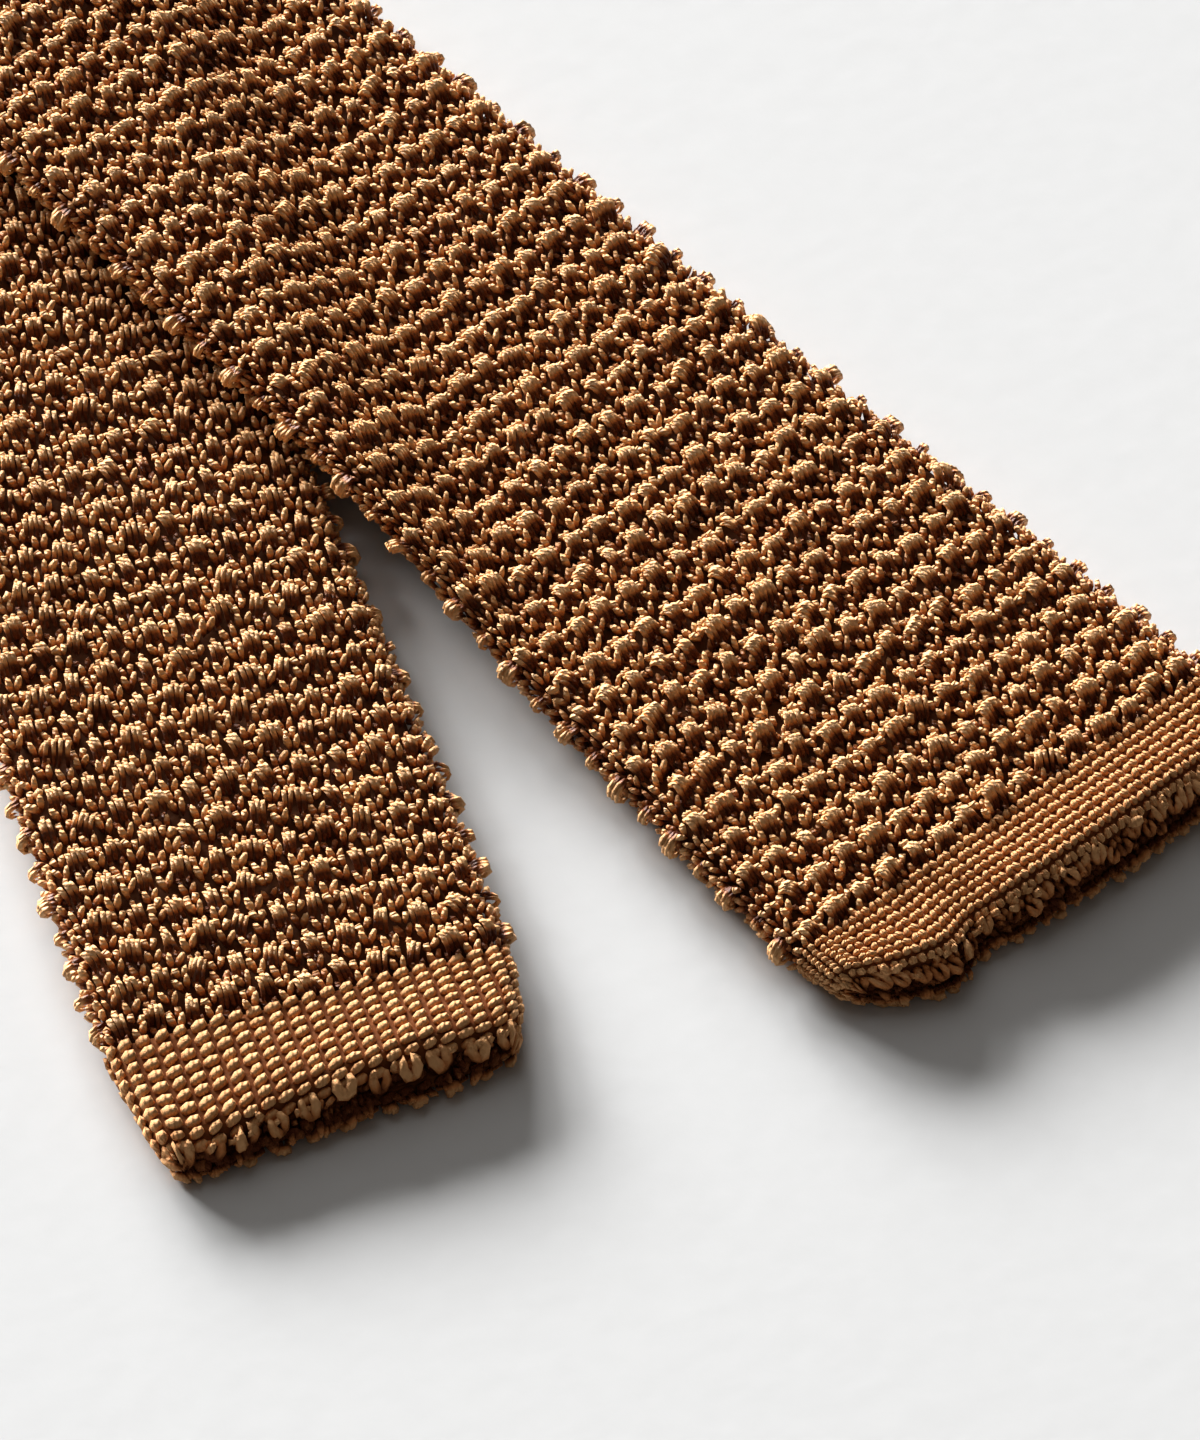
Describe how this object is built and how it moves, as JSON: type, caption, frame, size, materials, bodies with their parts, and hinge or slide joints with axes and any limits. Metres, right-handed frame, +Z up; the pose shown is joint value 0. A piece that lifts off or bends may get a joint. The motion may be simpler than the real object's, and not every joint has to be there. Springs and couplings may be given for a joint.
{
  "type": "knit tie",
  "caption": "Knitted necktie with square ends, a hollow flattened tube of bumpy stitch with plain hem bands, laid flat in one open loop with the wide blade over the tail.",
  "frame": {"origin": "middle of the whole tie's footprint, on the surface that it lies on", "axes": "+Y from the two square ends to the top of the loop, +Z up, +X to the right"},
  "size_m": [0.231, 0.6816, 0.0103],
  "materials": {
    "bumpy_knit": "caramel-brown silk in a bumpy tuck stitch",
    "plain_knit": "the same silk in a plain stitch"
  },
  "bodies": {
    "root": {"front_blade": "bumpy_knit", "front_hem_band": "plain_knit", "neck_band": "bumpy_knit", "tail_blade": "bumpy_knit", "tail_hem_band": "plain_knit"}
  },
  "joints": []
}
